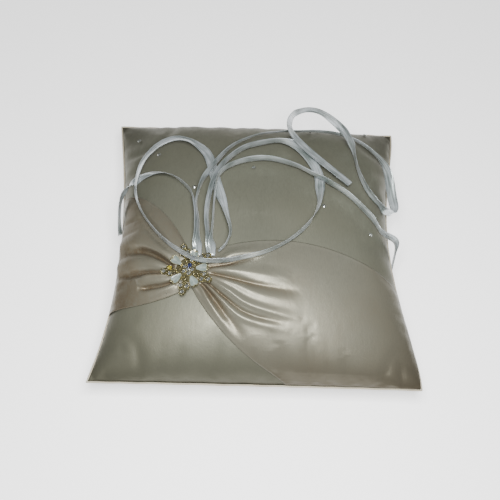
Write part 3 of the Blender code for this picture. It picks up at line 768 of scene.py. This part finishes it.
# %% Reading the settled panel
def on_skin(u, v):
    """A point of the settled front panel, by its place across and along."""
    grid = np.stack([np.sign(w) * (1 - (1 - np.clip(np.abs(w), 0, 1)) ** (1 / SPREAD)) for w in (u, v)])
    at = (grid + 1) / 2 * STEPS
    low = np.clip(np.floor(at).astype(int), 0, STEPS - 1)
    a, b = (at - low)[..., None]
    i, j = low
    return ((front_skin[i, j] * (1 - a) + front_skin[i + 1, j] * a) * (1 - b)
            + (front_skin[i, j + 1] * (1 - a) + front_skin[i + 1, j + 1] * a) * b)


def skin_normal(u, v, e=0.012):
    across = on_skin(np.minimum(u + e, 1), v) - on_skin(np.maximum(u - e, -1), v)
    along = on_skin(u, np.minimum(v + e, 1)) - on_skin(u, np.maximum(v - e, -1))
    n = np.cross(across, along)
    return n / np.linalg.norm(n, axis=-1, keepdims=True)


# %% The lines of the sash
EDGE = 0.9985
GATHER_X = -0.0400
GATHER_Y = -0.0415
SASH_ROWS = 121
LEFT_STEPS = 90
RIGHT_STEPS = 150
SPLIT = 6 / 14


def bowed(start, end, bow, t):
    """A point of the curve from start to end, pulled aside at its middle."""
    middle = (start + end) / 2 + bow
    return (1 - t) ** 2 * start + 2 * t * (1 - t) * middle + t ** 2 * end


def sash_lines():
    """Plan points and their share across the strip, and the distance from the gather."""
    f = np.linspace(0, 1, SASH_ROWS)
    y_left = 0.027 - 0.086 * f
    left = np.stack(to_plan(np.full_like(f, -EDGE), to_square(np.full_like(f, -0.09), y_left)[1]), -1)
    gather = np.stack([np.full_like(f, GATHER_X), -0.0328 - 0.0180 * f], -1)
    y_right = -0.040 - 0.060 * f / SPLIT
    v_right = np.maximum(to_square(np.full_like(f, 0.09), y_right)[1], -EDGE)
    x_front = 0.1 - 0.082 * (f - SPLIT) / (1 - SPLIT)
    u_front = np.minimum(to_square(x_front, np.full_like(f, -0.099))[0], EDGE)
    u = np.where(f <= SPLIT, EDGE, u_front)
    v = np.where(f <= SPLIT, v_right, -EDGE)
    right = np.stack(to_plan(u, v), -1)
    g = f[:, None]
    bow_left = np.array([0.005, 0.016]) * (1 - g) + np.array([0.001, -0.008]) * g
    bow_right = np.array([-0.009, 0.0325]) * (1 - g) + np.array([-0.010, -0.0105]) * g
    t1 = (np.linspace(0, 1, LEFT_STEPS + 1)[:-1] ** 1.1)[None, :, None]
    t2 = (1 - (1 - np.linspace(0, 1, RIGHT_STEPS + 1)) ** 1.25)[None, :, None]
    a = bowed(left[:, None], gather[:, None], bow_left[:, None], t1)
    b = bowed(gather[:, None], right[:, None], bow_right[:, None], t2)
    lines = np.concatenate([a, b], 1)
    return lines, np.repeat(g, lines.shape[1], 1)


lines, share = sash_lines()
sash_u, sash_v = (np.clip(w, -EDGE, EDGE) for w in to_square(lines[..., 0], lines[..., 1]))
from_pin = np.hypot(lines[..., 0] - GATHER_X, lines[..., 1] - GATHER_Y)
print("sash lines", lines.shape)

# %% [markdown]
# ## Folds drawn one by one
# Every fold starts at the brooch and dies out in the fan. A fold here is a short list of
# plan points in millimetres, its height, and its width on the front and on the back side: a
# steep front and a gentle back make the fold lean over, as satin does. A negative height is a
# valley, and there the cloth's colour is painted darker and warmer, as painted shade.

# %% Folds of the sash
FOLDS = (
    (((-50, -36), (-61, -26), (-74, -18), (-88, -16)), 4.4, 2.6, 6.0),
    (((-51, -38), (-60, -31), (-70, -25), (-80, -23)), -4.2, 2.6, 2.2),
    (((-50, -40), (-60, -37), (-72, -33), (-90, -30)), 4.0, 2.4, 3.4),
    (((-50, -42), (-62, -41), (-74, -39), (-90, -38)), -3.6, 2.8, 1.7),
    (((-50, -44), (-57, -43), (-65, -43), (-72, -46)), 4.0, 2.0, 2.0),
    (((-50, -47), (-57, -49), (-65, -49.5), (-72, -50)), -3.4, 1.7, 1.5),
    (((-50, -50), (-60, -54), (-72, -56)), 1.4, 2.2, 3.0),
    (((-30, -36), (-18, -32), (-5, -29), (12, -28)), 3.0, 3.4, 4.0),
    (((-29, -39), (-18, -37), (-8, -34), (4, -31)), -2.3, 2.6, 2.2),
    (((-28, -41), (-14, -42), (0, -43), (20, -45)), 2.4, 2.6, 3.6),
    (((-28, -43.5), (-14, -46.5), (2, -50), (26, -53)), -2.6, 2.4, 1.7),
    (((-28, -45), (-14, -50), (2, -56), (26, -60)), 1.7, 2.6, 3.0),
    (((-30, -46.5), (-18, -54), (-4, -62), (26, -69)), 3.4, 1.2, 2.8),
    (((-31, -48), (-20, -57), (-6, -66), (18, -71)), -2.4, 1.4, 1.1),
    (((-32, -49), (-22, -59), (-8, -69), (20, -75)), 2.1, 1.5, 2.0),
    (((-33, -50), (-26, -58), (-18, -68), (-8, -80)), -2.8, 2.8, 2.3),
    (((-34, -51), (-29, -60), (-21, -71), (-8, -86)), 1.6, 2.2, 2.0),
)


def along_fold(points):
    """A smooth line through a fold's points, in metres."""
    p = np.array(points, float) / 1000
    t = np.linspace(0, len(p) - 1, 60)
    k = np.minimum(t.astype(int), len(p) - 2)
    s = (t - k)[:, None]
    way = np.gradient(p, axis=0)
    h = (2 * s ** 3 - 3 * s ** 2 + 1) * p[k] + (s ** 3 - 2 * s ** 2 + s) * way[k]
    return h + (3 * s ** 2 - 2 * s ** 3) * p[k + 1] + (s ** 3 - s ** 2) * way[k + 1]


def draw_folds(plan):
    """Height of all folds over plan points, and how deep in a valley each one lies."""
    height = np.zeros(plan.shape[:-1])
    deep = np.zeros(plan.shape[:-1])
    for points, rise, front, rear in FOLDS:
        line = along_fold(points)
        gap = plan[..., None, :] - line
        near = np.argmin((gap ** 2).sum(-1), -1)
        gap = np.take_along_axis(gap, near[..., None, None], -2)[..., 0, :]
        way = np.gradient(line, axis=0)[near]
        behind = (way[..., 0] * gap[..., 1] - way[..., 1] * gap[..., 0]) * np.sign(way[..., 0]) > 0
        t = near / (len(line) - 1)
        width = np.where(behind, rear, front) / 1000 * (0.55 + 0.75 * t)
        dies = np.clip((1 - t) * np.where(plan[..., 0] < GATHER_X, 3.5, 1.5), 0, 1) ** 0.8
        shape = np.exp(-((gap ** 2).sum(-1) / width ** 2)) * dies
        height += rise / 1000 * shape
        # Painted shade: each valley also adds to the mask that darkens and warms the sash's colour.
        if rise < 0:
            deep += shape
    return height, deep


# %% [markdown]
# ## Room under the streamers
# The streamers cross the sash, and cloth gives way to what lies on it. For every point of the
# sash the lowest streamer edge above it is found, and the folds are kept under that. The
# stretches that hang over the sides of the pillow press on nothing, so they are left out.

# %% Height left under the streamers
PRESSES_WITHIN = 0.88


def ceiling(plan, gap=0.0004, slope=1.1):
    top = np.full(plan.shape[:-1], 1.0)
    for route in (STREAMER_LOOPED, STREAMER_SHORT, STREAMER_ROUND, STREAMER_RIGHT):
        path, _ = ribbon_path(route, 0.003)
        place = to_square(path[:, 0], path[:, 1])
        path = path[np.max(np.abs(place), 0) < PRESSES_WITHIN]
        lean = np.radians(path[:, 3])
        low = path[:, 2] - np.abs(np.sin(lean)) * RIBBON_WIDTH / 2
        reach = np.abs(np.cos(lean)) * RIBBON_WIDTH / 2 + 0.0012
        for x, y, z, r in zip(path[:, 0], path[:, 1], low, reach):
            d = np.hypot(plan[..., 0] - x, plan[..., 1] - y)
            top = np.minimum(top, z - gap + np.maximum(d - r, 0) * slope)
    return top


# %% Lift the sash into its folds
PUFF_AT = 0.026
PLEATS = 7.0
PLEAT_HEIGHT = 0.0007
OFF_PANEL = 0.00055
folds, deep = draw_folds(lines)
left_side = lines[..., 0] < GATHER_X
edge_fade = np.clip(4 * share * (1 - share), 0, 1)
puff = np.where(left_side, 0.0034, 0.0030) * (from_pin / PUFF_AT) * np.exp(1 - from_pin / PUFF_AT)
puff = puff * edge_fade ** 0.6
puff += np.where(left_side, 0.0012, 0.0008) * edge_fade
pleats = 0.5 + 0.5 * np.cos(2 * np.pi * PLEATS * share + 1.1 + 2.0 * np.sin(share * 9))
pleats = PLEAT_HEIGHT * pleats * np.exp(-(from_pin / 0.018) ** 2) * np.clip(edge_fade * 3, 0, 1)
hem = 0.00035 * np.exp(-(np.minimum(share, 1 - share) * (0.03 + from_pin) / 0.0012) ** 2)
height = folds * np.clip(edge_fade * 2.2, 0, 1) + puff + pleats
pressed = 0.0014 + 0.0050 * np.clip((from_pin - 0.0075) / 0.014, 0, 1) ** 0.8
height = np.where(height > 0, pressed * np.tanh(height / pressed), 0.2 * height)
seam_fade = np.clip(np.minimum(1 - np.abs(sash_u), 1 - np.abs(sash_v)) / 0.05, 0, 1)
height = OFF_PANEL + np.maximum(height, 0) * seam_fade ** 0.7 + hem
base = on_skin(sash_u, sash_v)
normal = skin_normal(sash_u, sash_v)
room = (ceiling(lines) - 0.0006 - base[..., 2]) / np.maximum(normal[..., 2], 0.3)
room = np.maximum(room, 0.0005)
squeezed = np.clip((height - room) / 0.0004, 0, 1)
height = np.minimum(height, room)


soften = np.clip(1.6 * blur(squeezed, 10), 0, 1)
for _ in range(3):
    height = np.minimum(height * (1 - soften) + blur(height, 8) * soften, room + 0.0002)
sash_points = base + normal * height[..., None]
# Painted shade: the mask is made deeper on the left and filled in between the pleats near the gather.
between = 0.45 * np.exp(-(from_pin / 0.016) ** 2) * (1 - pleats / PLEAT_HEIGHT)
deep = np.clip(deep * np.where(left_side, 1.3, 0.95) + between, 0, 1)
# The left part of the sash is also made darker and warmer through this mask, more towards the left seam.
left_deep = 0.22 + 0.6 * np.clip((-lines[..., 0] - 0.070) / 0.016, 0, 1)
deep = np.maximum(deep, np.where(left_side, left_deep, 0))
print("sash lifted up to %.1f mm" % (height.max() * 1e3))


# %% Build the sash
def build_sash():
    ob = add_mesh("satin_sash", sash_points, grid_faces(*share.shape), sash_satin)
    # The mask of painted shade, which the sash satin reads.
    add_attribute(ob, "fold_depth", deep)
    thick = ob.modifiers.new("cloth_thickness", "SOLIDIFY")
    thick.thickness = 0.00035
    thick.offset = 1.0
    bake_modifiers(ob)
    face_outwards(ob)
    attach(ob, "root")
    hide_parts("gathered_sash")
    print("sash", len(ob.data.polygons), "faces")


build_sash()

# %% [markdown]
# ## The brooch
# A rhinestone flower holds the gather: five pearly two-lobed petals between five gold sprays
# of stones, on a round gold base. The base and the cut-out sprays have the right shape in the
# measured model, so they stay and only get a finish. Enamelled petals are cupped castings
# with a gold rim, so they are modelled again, each as a small closed shell.

# %% Places on the pillow's measured surface
BROOCH_CENTRE = (-0.042, -0.041)
PLATE_FLOOR = 0.0036
PETAL_ANGLES = (68.0, 3.0, -64.0, -138.0, 143.0)
SPRAY_ANGLES = (102.0, 34.0, -28.0, -100.0, 184.0)


def rule_point(u, v):
    x, y = to_plan(u, v)
    return np.array([x, y, seam_surface(u, v) + 0.0009 + (CROWN - 0.0009) * fullness(u, v)])


def standing(place, n, height):
    """A frame off a surface: Z along its normal n, X to the right."""
    right = (Vector((1, 0, 0)) - n * n.x).normalized()
    return frame_at(place + n * height, right, n.cross(right), n)


def seat(x, y, height):
    """A frame standing on the measured front."""
    u, v = to_square(np.array(x), np.array(y))
    e = 2e-4
    n = np.cross(rule_point(u + e, v) - rule_point(u - e, v), rule_point(u, v + e) - rule_point(u, v - e))
    return standing(Vector(rule_point(u, v)), Vector(n).normalized(), height)


# %% Gold, pearl and crystal finishes
def gold_finish(name, pale, dark, rough):
    f = Finish(name, Specular_IOR_Level=0.5)
    where = f.place()
    worn = f.noise(where, 700.0, 3.0)
    grain = f.noise(where, 3200.0, 2.0)
    colour = f.mix((worn * 1.8 - 0.4).clamp(), dark, pale)
    return f.feed(Base_Color=colour, Metallic=worn * 0.15 + 0.85, Roughness=grain * 0.22 + rough,
                  Normal=f.bump(grain, 0.00008, 0.6))


def pearl_finish():
    f = Finish("petal_pearl", Specular_IOR_Level=0.3, Coat_Roughness=0.04, IOR=1.5)
    where = f.place()
    cloud = f.noise(where, 420.0, 3.0)
    rim = f.attribute("rim")
    vein = f.attribute("vein")
    colour = f.mix((cloud * 1.5 - 0.3).clamp(), (0.20, 0.24, 0.22), (0.07, 0.09, 0.075))
    colour = f.mix(vein * 0.5, colour, (0.34, 0.38, 0.34))
    colour = f.mix(rim, colour, (0.36, 0.33, 0.18))
    return f.feed(Base_Color=colour, Metallic=rim * 0.9, Roughness=cloud * 0.2 + 0.10,
                  Coat_Weight=(1 - rim) * 0.3)


def stone_finish(name, clear, tint, metallic=0.35):
    """Foil-backed glass over a mirror, its colour painted in pale and dark patches: painted glints and
    reflections for its facets.
    """
    f = Finish(name, Specular_IOR_Level=0.8, Coat_Weight=1.0, Coat_Roughness=0.02, IOR=1.6)
    where = f.place()
    spark = f.noise(where, 1500.0, 3.0)
    # Painted glints and reflections: the noise mixes the colour between a dark tint and a pale clear one.
    colour = f.mix((spark * 3.2 - 1.1).clamp(), tint, clear)
    return f.feed(Base_Color=colour, Metallic=spark * 0.3 + metallic, Roughness=spark * 0.10 + 0.03)


brooch_gold = gold_finish("brooch_gold", (0.46, 0.42, 0.23), (0.07, 0.06, 0.025), 0.12)
petal_pearl = pearl_finish()
clear_stone = stone_finish("clear_stone", (0.80, 0.84, 0.80), (0.10, 0.10, 0.07), 0.7)
blue_stone = stone_finish("blue_stone", (0.16, 0.20, 0.50), (0.008, 0.012, 0.06), 0.7)
yellow_stone = stone_finish("yellow_stone", (0.80, 0.70, 0.10), (0.35, 0.28, 0.01), 0.5)
for name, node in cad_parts.items():
    if name == "brooch_base" or name.startswith("spray_setting"):
        for slot in node.material_slots:
            slot.material = brooch_gold
print("brooch finishes ready")

# %% Cupped petals
def build_petal(number, angle):
    rows, columns = 19, 21
    j, i = np.meshgrid(np.linspace(0, 1, rows), np.linspace(-1, 1, columns), indexing="ij")
    half = np.interp(j, (0, 0.15, 0.4, 0.62, 0.82, 0.93, 1),
                     (0.0007, 0.0012, 0.0021, 0.0027, 0.0028, 0.0024, 0.0015))
    lobes = 0.0011 * np.sin(np.pi * np.abs(i)) * j ** 3
    a = 0.0050 + 0.0068 * j + lobes
    b = i * half
    cup = 0.00045 * i ** 2 * (0.3 + j) + 0.00045 * j ** 4
    groove = 0.00022 * np.exp(-(i / 0.12) ** 2) * j
    ridges = 0.00006 * np.cos(i * 16) * j
    z = 0.0001 + cup - groove + ridges
    top = np.stack([a, b, z + 0.00045], -1)
    bottom = np.stack([a, b, z * 0.6], -1)
    n = rows * columns
    up = grid_faces(rows, columns)
    index = np.arange(n).reshape(rows, columns)
    rim = np.concatenate([index[0, :-1], index[:-1, -1], index[-1, :0:-1], index[:0:-1, 0]])
    after = np.roll(rim, -1)
    wall = np.stack([rim + n, after + n, after, rim], -1)
    faces = np.concatenate([up, up[:, ::-1] + n, wall])
    turn = seat(*BROOCH_CENTRE, PLATE_FLOOR + 0.0005) @ Matrix.Rotation(math.radians(angle), 4, "Z")
    points = np.concatenate([top.reshape(-1, 3), bottom.reshape(-1, 3)])
    points = np.array([turn @ Vector(p) for p in points])
    ob = add_mesh("enamel_petal_%d" % number, points, faces, petal_pearl)
    edge = np.clip((np.maximum(np.abs(i), np.maximum(j, 1 - j * 4)) - 0.86) / 0.08, 0, 1)
    add_attribute(ob, "rim", np.r_[edge.ravel(), np.ones(n)])
    add_attribute(ob, "vein", np.r_[(np.exp(-(i / 0.16) ** 2) * j).ravel(), np.zeros(n)])
    face_outwards(ob)
    bevel = ob.modifiers.new("rim_bevel", "BEVEL")
    bevel.width = 0.00012
    bevel.segments = 2
    bevel.limit_method = "ANGLE"
    bake_modifiers(ob)
    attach(ob, "root")
    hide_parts("petal_%d" % number)


for number, angle in enumerate(PETAL_ANGLES, 1):
    build_petal(number, angle)
print("five petals")

# %% [markdown]
# ## Cut stones, claws and beads
# Every rhinestone is the same cut in another size: a table, a ring of crown facets, a thin
# girdle and a narrow back. Geometry Nodes put that cut on a cloud of points, where each
# point says which way the stone faces and how wide it is. Another tree puts gold beads and
# claws on their own points. Both end in real mesh, so nothing is left as an instance.

# %% Points that carry stones
def stone_points(name, frames, radii):
    mesh = bpy.data.meshes.new(name)
    mesh.from_pydata([tuple(m.translation) for m in frames], [], [])
    facing = mesh.attributes.new("facing", "FLOAT_VECTOR", "POINT")
    normals = np.array([m.to_3x3() @ Vector((0, 0, 1)) for m in frames], np.float32)
    facing.data.foreach_set("vector", normals.ravel())
    wide = mesh.attributes.new("wide", "FLOAT", "POINT")
    wide.data.foreach_set("value", np.array(radii, np.float32))
    ob = bpy.data.objects.new(name, mesh)
    bpy.context.scene.collection.objects.link(ob)
    return ob


def set_stones(name, frames, radius, finish, nodes, facets=10):
    """Cut stones of one size at frames, standing on their backs."""
    ob = stone_points(name, frames, [radius] * len(frames))
    r = Recipe(name + "_cut", **{"Facets": facets, "Table": 0.56, "Crown": 0.42, "Back": 0.30})

    def cone(top, bottom, depth, height):
        made = r.node("GeometryNodeMeshCone", None, {"Vertices": r.inputs["Facets"], "Radius Top": top,
                                                     "Radius Bottom": bottom, "Depth": depth})
        return r.node("GeometryNodeTransform", None, {"Geometry": made, "Translation": (0.0, 0.0, height)})

    crown = cone(r.inputs["Table"], 1.0, r.inputs["Crown"], 0.36)
    pavilion = cone(1.0, 0.35, r.inputs["Back"], 0.05)
    cut = r.node("GeometryNodeJoinGeometry", None, {"Geometry": [crown, pavilion]})
    turn = r.node("FunctionNodeAlignRotationToVector", {"axis": "Z"},
                  {"Vector": r.attribute("facing", "FLOAT_VECTOR")})
    put = r.node("GeometryNodeInstanceOnPoints", None, {"Points": r.inputs["Geometry"], "Instance": cut,
                                                        "Rotation": turn, "Scale": r.attribute("wide")})
    r.cook(ob, put, finish)
    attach(ob, "root")
    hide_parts(*nodes)


def set_beads(name, frames, radii, finish):
    """Round gold beads at frames."""
    ob = stone_points(name, frames, radii)
    r = Recipe(name + "_cast", **{"Roundness": 2})
    ball = r.node("GeometryNodeMeshIcoSphere", None, {"Radius": 1.0, "Subdivisions": r.inputs["Roundness"]})
    ball = r.node("GeometryNodeSetShadeSmooth", None, {"Geometry": ball})
    put = r.node("GeometryNodeInstanceOnPoints", None, {"Points": r.inputs["Geometry"], "Instance": ball,
                                                        "Scale": r.attribute("wide")})
    r.cook(ob, put, finish)
    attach(ob, "root")


# %% Stones and beads of the brooch
SPRAY_STONES = ((0.0108, 0.0018), (0.0108, -0.0018), (0.0146, 0.0))
YELLOW = 13
RING_START = 66.0
RING_RADIUS = 0.0027
CLAW_OUT = 0.00132
SPRAY_BEADS = ((0.0082, 0.0009, 0.00045), (0.0082, -0.0009, 0.00045), (0.0128, 0.0010, 0.00042),
               (0.0128, -0.0010, 0.00042), (0.0164, 0.0, 0.00050), (0.0123, 0.0031, 0.00042),
               (0.0123, -0.0031, 0.00042), (0.0095, 0.0031, 0.00038), (0.0095, -0.0031, 0.00038),
               (0.0070, 0.0, 0.00050), (0.0158, 0.0014, 0.00032), (0.0158, -0.0014, 0.00032))
on_plate = seat(*BROOCH_CENTRE, PLATE_FLOOR + 0.0008)
on_base = seat(*BROOCH_CENTRE, PLATE_FLOOR)


def polar(start, angle, a, b, z=0.0):
    return start @ Matrix.Rotation(math.radians(angle), 4, "Z") @ Matrix.Translation((a, b, z))


spray_frames = [polar(on_plate, angle, a, b) for angle in SPRAY_ANGLES for a, b in SPRAY_STONES]
spray_nodes = ["spray_stone_%d_%d" % (k + 1, n + 1) for k in range(5) for n in range(3)]
plain = [k for k in range(len(spray_frames)) if k != YELLOW]
set_stones("spray_stones", [spray_frames[k] for k in plain], 0.00125, clear_stone,
           [spray_nodes[k] for k in plain])
set_stones("yellow_stones", [spray_frames[YELLOW]], 0.00135, yellow_stone, [spray_nodes[YELLOW]])
ring = [polar(on_base, RING_START + 72.0 * k, RING_RADIUS, 0) for k in range(5)] + [on_base]
set_stones("centre_stones", ring[1:], 0.00122, clear_stone, ["centre_stone_%d" % k for k in range(2, 7)])
set_stones("blue_stone_cut", ring[:1], 0.00150, blue_stone, ["centre_stone_1"])

beads = []
for angle in SPRAY_ANGLES:
    for a, b in SPRAY_STONES:
        for claw in (math.radians(degrees) for degrees in (45, 135, 225, 315)):
            dx, dy = CLAW_OUT * math.cos(claw), CLAW_OUT * math.sin(claw)
            beads.append((polar(on_plate, angle, a + dx, b + dy, 0.0005), 0.00030))
    for a, b, size in SPRAY_BEADS:
        beads.append((polar(on_plate, angle, a, b, 0.0002), size))
for k in range(5):
    around = RING_START + 72.0 * k
    for claw in range(4):
        turn = Matrix.Rotation(math.radians(around + 90 * claw + 45), 4, "Z")
        spot = polar(on_base, around, RING_RADIUS, 0) @ turn
        beads.append((spot @ Matrix.Translation((0.00125, 0, 0.0006)), 0.00028))
    beads.append((polar(on_base, 102.0 + 72.0 * k, 0.0050, 0, 0.0004), 0.00055))
set_beads("gold_beads", *zip(*beads), brooch_gold)

# %% [markdown]
# ## Loose crystals
# Nine flat-backed crystals are glued to the satin. They sit on the settled cloth, so their
# frames come from it and not from the measured surface.

# %% Crystals on the satin
CRYSTALS = ((-0.0840, 0.0770), (-0.0675, 0.0550), (-0.0418, 0.0210), (-0.0035, 0.0385),
            (0.0418, 0.0088), (0.0720, -0.0060), (0.0370, 0.0845), (0.0790, 0.0935))


def on_cloth(x, y, lift=0.0002):
    u, v = to_square(np.array([x]), np.array([y]))
    return standing(Vector(on_skin(u, v)[0]), Vector(skin_normal(u, v)[0]), lift)


set_stones("crystals", [on_cloth(x, y) for x, y in CRYSTALS], 0.00140, clear_stone,
           ["crystal_%d" % k for k in range(1, 9)], facets=12)
set_stones("small_crystal", [on_cloth(-0.0545, -0.0540, 0.0014)], 0.0009, clear_stone, ["crystal_9"])

# %% [markdown]
# ## Table and light
# Satin shows its folds only when the light has a direction, so the key light is small and
# close, above the front edge. It fades towards the back of the pillow. A weak fill and a dim
# sky keep the shadows open, and the table glows a little so that it stays pale around cloth
# that is lit this softly.

# %% Table and lights
def floor_finish():
    f = Finish("table", Roughness=0.6, Emission_Color=(1, 1, 1, 1), Emission_Strength=1.2)
    soft = f.noise(f.place(), 3.0, 2.0)
    return f.feed(Base_Color=f.mix(soft, (0.86, 0.86, 0.86), (0.9, 0.9, 0.9)))


corners = [(x, y, -0.0002) for x, y in ((-4, -4), (4, -4), (4, 4), (-4, 4))]
floor = add_mesh("table", corners, [(0, 1, 2, 3)], floor_finish())


def soft_light(name, place, target, power, size):
    lamp = bpy.data.objects.new(name, bpy.data.lights.new(name, "AREA"))
    lamp.data.energy = power
    lamp.data.size = size
    way = (Vector(target) - Vector(place)).normalized()
    lamp.matrix_world = Matrix.Translation(place) @ way.to_track_quat("-Z", "Y").to_matrix().to_4x4()
    bpy.context.scene.collection.objects.link(lamp)


soft_light("key", (0.00, -0.19, 0.44), (0.005, -0.05, 0.04), 4.7, 0.16)
soft_light("fill", (0.10, -0.62, 0.80), (0, 0, 0.04), 2.5, 0.25)
world = bpy.data.worlds.new("studio")
world.use_nodes = True
sky = world.node_tree.nodes["Background"].inputs
sky["Color"].default_value = (1, 1, 1, 1)
sky["Strength"].default_value = 0.12
bpy.context.scene.world = world
print("lights ready")
